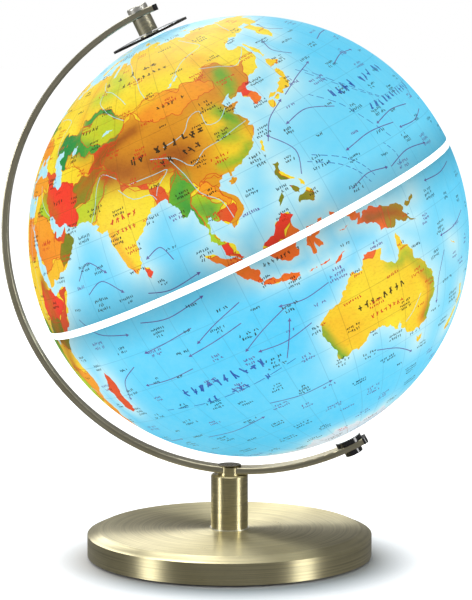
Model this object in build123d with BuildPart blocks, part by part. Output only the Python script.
"""Illuminated desktop globe on a brushed brass stand.

A 200 mm map globe turns on an axis tilted 26 degrees, held at both poles by a C-shaped
meridian arc. The arc is a flat tube, clamped on top of a short post by a hollow bolt that
runs down through the post and the weighted round base. A small lamp stands inside the
globe on the south fitting, and its lead runs inside the arc, the bolt and the base.

Frame: millimetres, +Z up, the arc lies in the XZ plane, the origin is the centre of the
base's underside. The north pole leans towards -X.
"""
import os
from math import atan2, cos, degrees, pi, radians, sin, sqrt, tan

from build123d import *

# ---------------------------------------------------------------- driving dimensions
# Globe
globe_diameter = 200.0
shell_wall = 1.5
axis_tilt = 26.0              # degrees from vertical, north pole towards -X
north_gap = 10.5              # from the north pole to the arc, along the pole axis
south_gap = 6.1               # from the south pole to the arc
band_width = 3.2              # visible width of the equator band
band_flange_reach = 7.0       # the band's hidden flange, each side of the equator
band_flange_wall = 1.4

# Meridian arc: a flat tube bent to a circle
arc_thickness = 2.9           # across the tube, radially
arc_width = 9.0
arc_wall = 0.6
arc_edge_round = 0.5
arc_offset_x = 7.8            # arc's centre, sideways from the post's axis
arc_reach_top = 8.6           # arc beyond the pole axis at the top, end plug included
arc_reach_bottom = 8.0        # the same at the bottom
plug_cap = 2.0
plug_spigot = 3.4
plug_corner = 1.8

# Base
base_diameter = 131.0
base_height = 12.8
base_chamfer_width = 5.0
base_chamfer_height = 2.3
cover_wall = 1.2
cover_lift = 0.8              # cover's lower rim above the floor
pad_thickness = 1.5
pad_diameter = 122.0
plate_thickness = 1.2
screw_count = 3
screw_circle = 96.0
screw_shank = 2.9
screw_head = 5.2
screw_head_height = 0.9
screw_length = 7.0

# Post, saddle and hollow bolt
post_diameter = 17.0
post_edge = 0.4
post_length = 24.6
saddle_floor = 0.87           # saddle under the arc, on the post's axis
foot_ring_diameter = 18.2
foot_ring_thickness = 0.4
neck_wall = 0.9               # saddle's walls beside the arc
bolt_head_height = 0.83       # above the arc, on the post's axis
bolt_head_edge = 0.25
bolt_diameter = 6.0
bolt_bore = 3.6
bolt_tip = 0.2                # bolt below its nut
nut_across_flats = 11.0
nut_thickness = 2.5
lead_room = 2.7               # under the nut, for the lead's bend
washer_diameter = 18.0
washer_thickness = 0.5
nut_recess_diameter = 26.0

# Power socket at the back of the base
socket_width = 7.5
socket_body_height = 6.4
socket_depth = 9.8
socket_barrel = 6.2
socket_bore = 4.0
socket_bore_depth = 8.5
contact_diameter = 1.3
contact_length = 7.8

# Lamp lead
lead_diameter = 1.2
lead_bend = 3.6
lead_channel_width = 2.4
lead_offset_bolt = 0.9        # lead beside the bolt's axis, away from the window
lead_offset_stem = 0.7        # lead beside the stem's axis, away from the window

# North fitting
knob_diameter = 9.6
knob_height = 2.7
knob_round = 1.1
pin_diameter = 3.0
pin_end = 9.0                 # pin inside the globe, below the north pole
sleeve_diameter = 9.0
dial_diameter = 36.4
dial_thickness = 1.0
dial_hub_diameter = 9.2
dial_rise = 0.7               # low dome, so the rim stays above the north flange
dial_rim_width = 0.9
dial_rim_extra = 0.1
dial_mark_count = 24
dial_mark_length = 2.4
dial_mark_width = 0.3
dial_mark_inset = 1.4
dial_mark_depth = 0.3
clip_diameter = 6.4
clip_thickness = 0.4
north_bush_diameter = 9.8
north_flange_diameter = 14.0
north_flange_thickness = 0.6
bush_depth = 5.0              # bushes inside the shells

# South fitting and lamp
collar_diameter = 12.4
collar_height = 2.2
neck_bearing_diameter = 9.0
lamp_holder_reach = 6.2       # lamp holder's neck inside the south pole
south_bush_diameter = 11.8
south_flange_diameter = 17.0
south_flange_thickness = 1.0
stem_diameter = 5.0
stem_bore = 2.8
stem_in_holder = 5.0
holder_nut_diameter = 8.4
holder_nut_height = 2.3
holder_nut_edge = 0.3
diffuser_diameter = 8.8
diffuser_wall = 0.8
diffuser_length = 36.0
board_width = 5.6
board_thickness = 1.0
board_length = 31.0
chip_width = 2.8
chip_length = 3.5
chip_thickness = 0.7
chip_rows = 5
chip_pitch = 5.6

# Clearances
fit_gap = 0.1                 # loose fit between fixed pieces, on each side
snug_gap = 0.02               # faces that are clamped or glued together
running_gap = 0.05            # radial clearance of a turning fit
thrust_gap = 0.3              # along the axis, between pieces that turn on each other

# ---------------------------------------------------------------- derived places
globe_radius = globe_diameter / 2
shell_inner = globe_radius - shell_wall
arc_inner_radius = globe_radius + (north_gap + south_gap) / 2
globe_drop = (north_gap - south_gap) / 2     # globe's centre below the arc's, along the pole axis
arc_outer_radius = arc_inner_radius + arc_thickness
arc_mid_radius = arc_outer_radius - arc_thickness / 2
tube_outer = arc_outer_radius - arc_wall
tube_inner = arc_inner_radius + arc_wall
post_z = base_height + foot_ring_thickness
post_top = post_z + post_length
arc_seat_height = post_top + saddle_floor
bolt_head_top = arc_seat_height + arc_thickness + bolt_head_height
neck_diameter = arc_width + 2 * neck_wall
arc_centre_z = arc_seat_height + sqrt(arc_outer_radius**2 - arc_offset_x**2)
arc_centre = Vector(arc_offset_x, 0, arc_centre_z)

tilt = radians(axis_tilt)
pole = Vector(-sin(tilt), 0, cos(tilt))      # from south to north
cross = Vector(cos(tilt), 0, sin(tilt))      # square to the pole axis, in the arc's plane
pole_axis = Axis(arc_centre, pole)
pole_profile = Plane(origin=arc_centre, x_dir=cross, z_dir=(0, -1, 0))
globe_profile = Plane(origin=arc_centre - pole * globe_drop, x_dir=cross, z_dir=(0, -1, 0))
arc_plane = Plane(origin=arc_centre, x_dir=(1, 0, 0), z_dir=(0, -1, 0))

base_radius = base_diameter / 2
chamfer_angle = atan2(base_chamfer_height, base_chamfer_width)
plate_z = pad_thickness
weight_z = plate_z + plate_thickness
weight_inset = cover_wall + fit_gap
nut_bottom = weight_z + lead_room
bolt_bottom = nut_bottom - bolt_tip
washer_z = nut_bottom + nut_thickness
socket_height = weight_z + socket_body_height / 2 + 3 * fit_gap

# Distances from the arc's centre along the pole axis, north fitting
north_pole = globe_radius - globe_drop
north_flange_base = north_pole + snug_gap
clip_bottom = north_flange_base + north_flange_thickness + thrust_gap
dial_bottom = clip_bottom + clip_thickness + thrust_gap
dial_top = dial_bottom + dial_thickness
sleeve_bottom = dial_top + thrust_gap
sleeve_top = sqrt(arc_inner_radius**2 - (sleeve_diameter / 2) ** 2)

# The same towards the south
collar_seat = sqrt(arc_inner_radius**2 - (collar_diameter / 2) ** 2)
collar_face = collar_seat - collar_height
south_bush_face = collar_face - thrust_gap
south_pole = globe_radius + globe_drop
holder_end = south_pole - lamp_holder_reach
stem_inner_end = collar_seat - stem_in_holder


def pole_level(along):
    """Plane square to the pole axis, at a distance from the arc's centre, north positive."""
    return Plane(origin=arc_centre + pole * along, x_dir=cross, z_dir=pole)


def south_level(along):
    """The same towards the south, facing away from the globe's centre."""
    return Plane(origin=arc_centre - pole * along, x_dir=cross, z_dir=-pole)


def arc_point(angle, radius=arc_mid_radius):
    """Point on a circle about the arc's centre; degrees from +X towards +Z."""
    return arc_centre + Vector(cos(radians(angle)), 0, sin(radians(angle))) * radius


def cover_outline(inset):
    """Chamfered upper outline of the base, moved inwards by a distance."""
    top = (base_radius - base_chamfer_width - inset * tan(chamfer_angle / 2), base_height - inset)
    side_drop = base_chamfer_height + inset * tan((pi / 2 - chamfer_angle) / 2)
    return top, (base_radius - inset, base_height - side_drop)


def on_sphere(radius, height):
    """Point of a meridian profile at a height above the equator plane."""
    return sqrt(radius**2 - height**2), height


os.makedirs("parts", exist_ok=True)
made = {}


def finish_part(name, part):
    """Label a finished piece, write its file and keep it for the printed summary."""
    part.label = name
    export_step(part, f"parts/{name}.step")
    made[name] = part


# ================================================================ base
top_corner, side_corner = cover_outline(0)
inner_top, inner_side = cover_outline(cover_wall)
bolt_hole = bolt_diameter / 2 + fit_gap

with BuildPart() as base_cover:
    with BuildSketch(Plane.XZ):
        with BuildLine():
            Polyline(
                (bolt_hole, base_height), top_corner, side_corner,
                (base_radius, cover_lift), (base_radius - cover_wall, cover_lift),
                inner_side, inner_top, (bolt_hole, base_height - cover_wall), close=True,
            )
        make_face()
    revolve(axis=Axis.Z)
    with BuildSketch(Plane(origin=(0, 0, socket_height), x_dir=(1, 0, 0), z_dir=(0, 1, 0))):
        Circle(socket_barrel / 2 + fit_gap)
    extrude(amount=base_diameter, mode=Mode.SUBTRACT)
finish_part("base_cover", base_cover.part)

weight_top, weight_side = cover_outline(weight_inset)
socket_back = base_radius - cover_wall - fit_gap - socket_depth
with BuildPart() as base_weight:
    with BuildSketch(Plane.XZ):
        with BuildLine():
            Polyline(
                (bolt_hole, base_height - weight_inset), weight_top, weight_side,
                (base_radius - weight_inset, weight_z), (bolt_hole, weight_z), close=True,
            )
        make_face()
    revolve(axis=Axis.Z)
    with BuildSketch(Plane.XY.offset(weight_z)):
        Circle(nut_recess_diameter / 2)
    extrude(amount=washer_z + washer_thickness - weight_z, mode=Mode.SUBTRACT)
    with BuildSketch(Plane.XY.offset(weight_z)):
        with Locations((-lead_offset_bolt, 0)):
            Rectangle(lead_channel_width, socket_back, align=(Align.CENTER, Align.MIN))
    extrude(amount=lead_channel_width, mode=Mode.SUBTRACT)
    with BuildSketch(Plane.XY.offset(weight_z)):
        with Locations((0, socket_back - fit_gap)):
            Rectangle(socket_width + 2 * fit_gap, base_radius, align=(Align.CENTER, Align.MIN))
    extrude(
        amount=socket_height + socket_body_height / 2 + fit_gap - weight_z, mode=Mode.SUBTRACT
    )
    with BuildSketch(Plane.XY.offset(weight_z)):
        with PolarLocations(screw_circle / 2, screw_count, start_angle=30):
            Circle(screw_shank / 2 + running_gap)
    extrude(amount=screw_length, mode=Mode.SUBTRACT)
finish_part("base_weight", base_weight.part)

head_taper = degrees(atan2((screw_head - screw_shank) / 2, screw_head_height))
with BuildPart() as bottom_plate:
    with BuildSketch(Plane.XY.offset(plate_z)):
        Circle(base_radius - cover_wall - 2 * fit_gap)
    extrude(amount=plate_thickness)
    with BuildSketch(Plane.XY.offset(plate_z)):
        with PolarLocations(screw_circle / 2, screw_count, start_angle=30):
            Circle(screw_shank / 2 + running_gap)
    extrude(amount=plate_thickness, mode=Mode.SUBTRACT)
    with BuildSketch(Plane.XY.offset(plate_z)):
        with PolarLocations(screw_circle / 2, screw_count, start_angle=30):
            Circle(screw_head / 2 + running_gap)
    extrude(amount=screw_head_height, taper=head_taper, mode=Mode.SUBTRACT)
finish_part("bottom_plate", bottom_plate.part)

with BuildPart() as plate_screws:
    with BuildSketch(Plane.XY.offset(plate_z)):
        with PolarLocations(screw_circle / 2, screw_count, start_angle=30):
            Circle(screw_shank / 2)
    extrude(amount=screw_length)
    with BuildSketch(Plane.XY.offset(plate_z)):
        with PolarLocations(screw_circle / 2, screw_count, start_angle=30):
            Circle(screw_head / 2)
    extrude(amount=screw_head_height, taper=head_taper)
finish_part("plate_screws", plate_screws.part)

with BuildPart() as base_pad:
    with BuildSketch(Plane.XY):
        Circle(pad_diameter / 2)
    extrude(amount=pad_thickness)
finish_part("base_pad", base_pad.part)

# ================================================================ power socket
socket_face = sqrt(base_radius**2 - (socket_barrel / 2) ** 2)
socket_front = socket_back + socket_depth


def socket_level(y):
    """Plane across the socket's axis, facing out of the back of the base."""
    return Plane(origin=(0, y, socket_height), x_dir=(1, 0, 0), z_dir=(0, 1, 0))


with BuildPart() as power_socket:
    with BuildSketch(socket_level(socket_back)):
        Rectangle(socket_width, socket_body_height)
    extrude(amount=socket_depth)
    with BuildSketch(socket_level(socket_front)):
        Circle(socket_barrel / 2)
    extrude(amount=socket_face - socket_front)
    with BuildSketch(socket_level(socket_face)):
        Circle(socket_bore / 2)
    extrude(amount=-socket_bore_depth, mode=Mode.SUBTRACT)
finish_part("power_socket", power_socket.part)

with BuildPart() as socket_contact:
    with BuildSketch(socket_level(socket_face - socket_bore_depth)):
        Circle(contact_diameter / 2)
    extrude(amount=contact_length)
    fillet(socket_contact.edges().group_by(Axis.Y)[-1], radius=contact_diameter / 3)
finish_part("socket_contact", socket_contact.part)

# ================================================================ post and saddle
with BuildPart() as post_foot_ring:
    with BuildSketch(Plane.XY.offset(base_height)):
        Circle(foot_ring_diameter / 2)
        Circle(bolt_hole, mode=Mode.SUBTRACT)
    extrude(amount=foot_ring_thickness)
finish_part("post_foot_ring", post_foot_ring.part)

with BuildPart() as post:
    with BuildSketch(Plane.XY.offset(post_z)):
        Circle(post_diameter / 2)
    extrude(amount=post_top - post_z)
    chamfer(post.edges().group_by(Axis.Z)[-1], length=post_edge)
    with BuildSketch(Plane.XY.offset(post_z)):
        Circle(bolt_hole)
    extrude(amount=post_top - post_z, mode=Mode.SUBTRACT)
finish_part("post", post.part)

with BuildPart() as arc_saddle:
    with BuildSketch(Plane.XY.offset(post_top)):
        Circle(neck_diameter / 2)
        Circle(bolt_hole, mode=Mode.SUBTRACT)
    extrude(amount=bolt_head_top - post_top)
    with BuildSketch(arc_plane):
        Circle(arc_outer_radius + snug_gap)
    extrude(amount=arc_width / 2 + fit_gap, both=True, mode=Mode.SUBTRACT)
    with BuildSketch(arc_plane):
        Circle(arc_inner_radius)
    extrude(amount=neck_diameter, both=True, mode=Mode.SUBTRACT)
finish_part("arc_saddle", arc_saddle.part)

# The lead's bend at the top of the bolt: tangent to the bolt's axis and to the arc's middle.
bend_x = lead_bend - lead_offset_bolt
bend_low = arc_mid_radius + lead_bend
bolt_bend_centre = Vector(
    bend_x, 0, arc_centre_z - sqrt(bend_low**2 - (bend_x - arc_offset_x) ** 2)
)
arc_entry = arc_centre + (bolt_bend_centre - arc_centre) * (arc_mid_radius / bend_low)
window_height = arc_thickness - 2 * arc_wall

with BuildPart() as arc_bolt:
    with BuildSketch(Plane.XY.offset(post_top)):
        Circle(neck_diameter / 2)
    extrude(amount=bolt_head_top - post_top)
    with BuildSketch(arc_plane):
        Circle(arc_inner_radius - snug_gap)
    extrude(amount=neck_diameter, both=True, mode=Mode.INTERSECT)
    fillet(arc_bolt.edges().group_by(Axis.Z)[-1], radius=bolt_head_edge)
    with BuildSketch(Plane.XY.offset(bolt_bottom)):
        Circle(bolt_diameter / 2)
    extrude(amount=arc_seat_height + arc_thickness - bolt_bottom)
    with BuildSketch(Plane.XY.offset(bolt_bottom)):
        Circle(bolt_bore / 2)
    extrude(amount=arc_entry.Z + window_height / 2 - bolt_bottom, mode=Mode.SUBTRACT)
    with BuildSketch(Plane(origin=(0, 0, arc_entry.Z), x_dir=(0, 1, 0), z_dir=(1, 0, 0))):
        Rectangle(lead_channel_width, window_height)
    extrude(amount=bolt_diameter, mode=Mode.SUBTRACT)
finish_part("arc_bolt", arc_bolt.part)

with BuildPart() as bolt_washer:
    with BuildSketch(Plane.XY.offset(washer_z)):
        Circle(washer_diameter / 2)
        Circle(bolt_hole, mode=Mode.SUBTRACT)
    extrude(amount=washer_thickness)
finish_part("bolt_washer", bolt_washer.part)

with BuildPart() as bolt_nut:
    with BuildSketch(Plane.XY.offset(nut_bottom)):
        RegularPolygon(nut_across_flats / 2, 6, major_radius=False)
        Circle(bolt_diameter / 2 + snug_gap, mode=Mode.SUBTRACT)
    extrude(amount=nut_thickness)
finish_part("bolt_nut", bolt_nut.part)

# ================================================================ meridian arc
north_angle = 90 + axis_tilt
south_angle = 270 + axis_tilt
top_end_angle = north_angle - degrees((arc_reach_top - plug_cap) / arc_mid_radius)
bottom_end_angle = south_angle + degrees((arc_reach_bottom - plug_cap) / arc_mid_radius)


def arc_band(outer, inner):
    """Outline of the arc between two radii, drawn in the arc's own plane."""
    span = bottom_end_angle - top_end_angle
    with BuildLine() as outline:
        far = CenterArc((0, 0), outer, top_end_angle, span)
        near = CenterArc((0, 0), inner, top_end_angle, span)
        Line(far @ 0, near @ 0)
        Line(far @ 1, near @ 1)
    return outline.line


with BuildPart() as meridian_arc:
    with BuildSketch(arc_plane):
        add(arc_band(arc_outer_radius, arc_inner_radius))
        make_face()
    extrude(amount=arc_width / 2, both=True)
    side_faces = meridian_arc.faces().filter_by(Plane.XZ)
    fillet(side_faces.edges().filter_by(GeomType.CIRCLE), radius=arc_edge_round)
    with BuildSketch(arc_plane):
        add(arc_band(tube_outer, tube_inner))
        make_face()
    extrude(amount=arc_width / 2 - arc_wall, both=True, mode=Mode.SUBTRACT)
    with BuildSketch(Plane.XY.offset(post_top)):
        Circle(bolt_hole)
    extrude(amount=2 * neck_diameter, mode=Mode.SUBTRACT)
    with BuildSketch(pole_level(arc_inner_radius - arc_thickness)):
        Circle(pin_diameter / 2 + fit_gap)
    extrude(amount=3 * arc_thickness, mode=Mode.SUBTRACT)
    with BuildSketch(south_level(arc_inner_radius - arc_thickness)):
        Circle(stem_diameter / 2 + fit_gap)
    extrude(amount=3 * arc_thickness, mode=Mode.SUBTRACT)
finish_part("meridian_arc", meridian_arc.part)


def arc_end_plane(angle, outward):
    """Plane on an open end of the arc tube: local x runs across the arc, y radially."""
    turned = radians(angle)
    return Plane(
        origin=arc_point(angle),
        x_dir=(0, -outward, 0),
        z_dir=(-outward * sin(turned), 0, outward * cos(turned)),
    )


plug_ends = {
    "arc_plug_top": arc_end_plane(top_end_angle, -1),
    "arc_plug_bottom": arc_end_plane(bottom_end_angle, 1),
}
for plug_name, plug_plane in plug_ends.items():
    with BuildPart() as arc_plug:
        with BuildSketch(plug_plane):
            Rectangle(arc_width, arc_thickness)
        extrude(amount=plug_cap)
        outward = Axis(plug_plane.origin, plug_plane.z_dir)
        end_edges = arc_plug.faces().sort_by(outward)[-1].edges()
        fillet(end_edges.sort_by(SortBy.LENGTH)[:2], radius=plug_corner)
        with BuildSketch(plug_plane):
            Rectangle(arc_width - 2 * (arc_wall + fit_gap), window_height - 2 * fit_gap)
        extrude(amount=-plug_spigot)
    finish_part(plug_name, arc_plug.part)

# ================================================================ lamp lead
def across_pole(across, along):
    """Point in the arc's plane from its centre: across the pole axis and along it."""
    return arc_centre + cross * across + pole * along


lead_z = weight_z + fit_gap + lead_diameter / 2
lead_x = -lead_offset_bolt
stem_bend_across = lead_offset_stem - lead_bend
stem_bend_reach = arc_mid_radius - lead_bend
stem_bend_along = -sqrt(stem_bend_reach**2 - stem_bend_across**2)
stem_bend_centre = across_pole(stem_bend_across, stem_bend_along)
arc_exit = arc_centre + (stem_bend_centre - arc_centre) * (arc_mid_radius / stem_bend_reach)
arc_entry_way = (arc_entry - arc_centre).cross(Vector(0, 1, 0))
arc_exit_way = (arc_exit - arc_centre).cross(Vector(0, 1, 0))

with BuildPart() as lamp_lead:
    with BuildLine() as lead_route:
        Line((lead_x, socket_back, lead_z), (lead_x, lead_bend, lead_z))
        TangentArc((lead_x, lead_bend, lead_z), (lead_x, 0, lead_z + lead_bend), tangent=(0, -1, 0))
        Line((lead_x, 0, lead_z + lead_bend), (lead_x, 0, bolt_bend_centre.Z))
        TangentArc((lead_x, 0, bolt_bend_centre.Z), arc_entry, tangent=(0, 0, 1))
        TangentArc(arc_entry, arc_exit, tangent=arc_entry_way)
        TangentArc(arc_exit, across_pole(lead_offset_stem, stem_bend_along), tangent=arc_exit_way)
        Line(
            across_pole(lead_offset_stem, stem_bend_along),
            across_pole(lead_offset_stem, -holder_end - fit_gap),
        )
    with BuildSketch(Plane(origin=(lead_x, socket_back, lead_z), z_dir=(0, -1, 0))):
        Circle(lead_diameter / 2)
    sweep(path=lead_route.wire())
finish_part("lamp_lead", lamp_lead.part)
lead_length = lead_route.wire().length
lead_section = pi * lead_diameter**2 / 4
print("lead length", round(lead_length, 1), "bend radii", lead_bend, round(arc_mid_radius, 2))
print("volume ratio", round(lamp_lead.part.volume / (lead_section * lead_length), 4))

# ================================================================ north fitting
with BuildPart() as top_knob:
    with BuildSketch(pole_level(arc_outer_radius + snug_gap)):
        Circle(knob_diameter / 2)
    extrude(amount=knob_height)
    fillet(top_knob.edges().group_by(pole_axis)[-1], radius=knob_round)
    with BuildSketch(pole_level(arc_outer_radius + snug_gap)):
        Circle(pin_diameter / 2 + snug_gap)
    extrude(amount=knob_height - knob_round / 2, mode=Mode.SUBTRACT)
finish_part("top_knob", top_knob.part)

pin_top = arc_outer_radius + knob_height - knob_round / 2 - fit_gap
with BuildPart() as pivot_pin:
    with BuildSketch(pole_level(north_pole - pin_end)):
        Circle(pin_diameter / 2)
    extrude(amount=pin_top - north_pole + pin_end)
    chamfer(pivot_pin.edges().group_by(pole_axis)[0], length=pin_diameter / 6)
finish_part("pivot_pin", pivot_pin.part)

with BuildPart() as top_sleeve:
    with BuildSketch(pole_level(sleeve_bottom)):
        Circle(sleeve_diameter / 2)
        Circle(pin_diameter / 2 + snug_gap, mode=Mode.SUBTRACT)
    extrude(amount=sleeve_top - sleeve_bottom)
finish_part("top_sleeve", top_sleeve.part)

dial_radius = dial_diameter / 2
hub_radius = dial_hub_diameter / 2
dome_radius = ((dial_radius - hub_radius) ** 2 + dial_rise**2) / (2 * dial_rise)
rim_top = dial_top - dial_rise
rim_bottom = rim_top - dial_thickness - dial_rim_extra
dial_bore = pin_diameter / 2 + running_gap
with BuildPart() as hour_dial:
    with BuildSketch(pole_profile):
        with BuildLine():
            Line((dial_bore, dial_top), (hub_radius, dial_top))
            RadiusArc((hub_radius, dial_top), (dial_radius, rim_top), dome_radius)
            Polyline(
                (dial_radius, rim_top), (dial_radius, rim_bottom),
                (dial_radius - dial_rim_width, rim_bottom),
                (dial_radius - dial_rim_width, rim_top - dial_thickness),
            )
            RadiusArc(
                (dial_radius - dial_rim_width, rim_top - dial_thickness),
                (hub_radius, dial_bottom), -dome_radius,
            )
            Polyline((hub_radius, dial_bottom), (dial_bore, dial_bottom), (dial_bore, dial_top))
        make_face()
    revolve(axis=pole_axis)
    mark_radius = dial_radius - dial_mark_inset - dial_mark_length / 2
    with BuildSketch(pole_level(rim_top + dial_rise)):
        with PolarLocations(mark_radius, dial_mark_count):
            Rectangle(dial_mark_length, dial_mark_width)
    extrude(amount=-dial_rise + dial_mark_depth / 2, mode=Mode.SUBTRACT)
finish_part("hour_dial", hour_dial.part)

with BuildPart() as dial_clip:
    with BuildSketch(pole_level(clip_bottom)):
        Circle(clip_diameter / 2)
        Circle(pin_diameter / 2 + snug_gap, mode=Mode.SUBTRACT)
    extrude(amount=clip_thickness)
finish_part("dial_clip", dial_clip.part)

# ================================================================ globe
north_hole = north_bush_diameter / 2 + fit_gap
south_hole = south_bush_diameter / 2 + fit_gap
shell_edge = band_width / 2 + snug_gap
shell_holes = {"north_shell": (1, north_hole), "south_shell": (-1, south_hole)}
for shell_name, (side, hole) in shell_holes.items():
    outer_edge = on_sphere(globe_radius, side * shell_edge)
    inner_edge = on_sphere(shell_inner, side * shell_edge)
    outer_rim = (hole, side * sqrt(globe_radius**2 - hole**2))
    inner_rim = (hole, side * sqrt(shell_inner**2 - hole**2))
    with BuildPart() as shell:
        with BuildSketch(globe_profile):
            with BuildLine():
                RadiusArc(outer_edge, outer_rim, -side * globe_radius)
                Line(outer_rim, inner_rim)
                RadiusArc(inner_rim, inner_edge, side * shell_inner)
                Line(inner_edge, outer_edge)
            make_face()
        revolve(axis=pole_axis)
    finish_part(shell_name, shell.part)

flange_outer = shell_inner - fit_gap
flange_inner = flange_outer - band_flange_wall
web = band_width / 2 - snug_gap
with BuildPart() as equator_band:
    with BuildSketch(globe_profile):
        with BuildLine():
            RadiusArc(on_sphere(globe_radius, -web), on_sphere(globe_radius, web), -globe_radius)
            Line(on_sphere(globe_radius, web), on_sphere(flange_outer, web))
            RadiusArc(
                on_sphere(flange_outer, web), on_sphere(flange_outer, band_flange_reach),
                -flange_outer,
            )
            Line(
                on_sphere(flange_outer, band_flange_reach), on_sphere(flange_inner, band_flange_reach)
            )
            RadiusArc(
                on_sphere(flange_inner, band_flange_reach),
                on_sphere(flange_inner, -band_flange_reach), flange_inner,
            )
            Line(
                on_sphere(flange_inner, -band_flange_reach),
                on_sphere(flange_outer, -band_flange_reach),
            )
            RadiusArc(
                on_sphere(flange_outer, -band_flange_reach), on_sphere(flange_outer, -web),
                -flange_outer,
            )
            Line(on_sphere(flange_outer, -web), on_sphere(globe_radius, -web))
        make_face()
    revolve(axis=pole_axis)
finish_part("equator_band", equator_band.part)

with BuildPart() as north_bushing:
    with BuildSketch(pole_level(north_pole - bush_depth)):
        Circle(north_bush_diameter / 2)
    extrude(amount=bush_depth + snug_gap)
    with BuildSketch(pole_level(north_flange_base)):
        Circle(north_flange_diameter / 2)
    extrude(amount=north_flange_thickness)
    with BuildSketch(pole_level(north_pole - bush_depth)):
        Circle(pin_diameter / 2 + running_gap)
    extrude(amount=2 * bush_depth, mode=Mode.SUBTRACT)
finish_part("north_bushing", north_bushing.part)

with BuildPart() as south_bushing:
    with BuildSketch(south_level(south_pole - bush_depth)):
        Circle(south_bush_diameter / 2)
    extrude(amount=south_bush_face - south_pole + bush_depth)
    with BuildSketch(south_level(south_pole + snug_gap)):
        Circle(south_flange_diameter / 2)
    extrude(amount=south_flange_thickness)
    with BuildSketch(south_level(south_pole - bush_depth)):
        Circle(neck_bearing_diameter / 2 + running_gap)
    extrude(amount=3 * bush_depth, mode=Mode.SUBTRACT)
finish_part("south_bushing", south_bushing.part)

# ================================================================ south fitting and lamp
with BuildPart() as lamp_holder:
    with BuildSketch(south_level(collar_face)):
        Circle(collar_diameter / 2)
    extrude(amount=collar_height)
    with BuildSketch(south_level(holder_end)):
        Circle(neck_bearing_diameter / 2)
    extrude(amount=collar_face - holder_end)
    with BuildSketch(south_level(stem_inner_end)):
        Circle(stem_diameter / 2 + snug_gap)
    extrude(amount=stem_in_holder, mode=Mode.SUBTRACT)
    with BuildSketch(south_level(holder_end)):
        Circle(stem_bore / 2)
    extrude(amount=stem_inner_end - holder_end, mode=Mode.SUBTRACT)
finish_part("lamp_holder", lamp_holder.part)

nut_seat = arc_outer_radius + snug_gap
stem_end = nut_seat + holder_nut_height - 2 * holder_nut_edge
with BuildPart() as lamp_stem:
    with BuildSketch(south_level(stem_inner_end + fit_gap)):
        Circle(stem_diameter / 2)
    extrude(amount=stem_end - stem_inner_end - 2 * fit_gap)
    with BuildSketch(south_level(stem_inner_end)):
        Circle(stem_bore / 2)
    extrude(amount=tube_outer - stem_inner_end, mode=Mode.SUBTRACT)
    window_plane = Plane(
        origin=across_pole(0, -(tube_outer + arc_inner_radius) / 2), x_dir=(0, 1, 0), z_dir=-cross
    )
    with BuildSketch(window_plane):
        Rectangle(stem_bore - 2 * running_gap, tube_outer - arc_inner_radius)
    extrude(amount=stem_diameter, mode=Mode.SUBTRACT)
finish_part("lamp_stem", lamp_stem.part)

with BuildPart() as holder_nut:
    with BuildSketch(south_level(nut_seat)):
        Circle(holder_nut_diameter / 2)
    extrude(amount=holder_nut_height)
    fillet(holder_nut.edges().group_by(pole_axis)[0], radius=holder_nut_edge)
    with BuildSketch(south_level(nut_seat)):
        Circle(stem_diameter / 2 + snug_gap)
    extrude(amount=stem_end - nut_seat, mode=Mode.SUBTRACT)
finish_part("holder_nut", holder_nut.part)

diffuser_radius = diffuser_diameter / 2
with BuildPart() as lamp_diffuser:
    with BuildSketch(south_level(holder_end - diffuser_length)):
        Circle(diffuser_radius)
    extrude(amount=diffuser_length)
    fillet(lamp_diffuser.edges().group_by(pole_axis)[-1], radius=diffuser_radius - fit_gap)
    with BuildSketch(south_level(holder_end - diffuser_length + diffuser_radius)):
        Circle(diffuser_radius - diffuser_wall)
    extrude(amount=diffuser_length - diffuser_radius, mode=Mode.SUBTRACT)
finish_part("lamp_diffuser", lamp_diffuser.part)

board_plane = Plane(origin=across_pole(0, -holder_end), x_dir=(0, 1, 0), z_dir=cross)
with BuildPart() as led_board:
    with BuildSketch(board_plane):
        Rectangle(board_width, board_length, align=(Align.CENTER, Align.MIN))
    extrude(amount=board_thickness / 2, both=True)
finish_part("led_board", led_board.part)

with BuildPart() as led_chips:
    for face_side in (1, -1):
        chip_plane = board_plane.offset(face_side * board_thickness / 2)
        with BuildSketch(chip_plane):
            with Locations((0, board_length / 2)):
                with GridLocations(0, chip_pitch, 1, chip_rows):
                    Rectangle(chip_width, chip_length)
        extrude(amount=face_side * chip_thickness)
finish_part("led_chips", led_chips.part)

print(len(made), "pieces written")
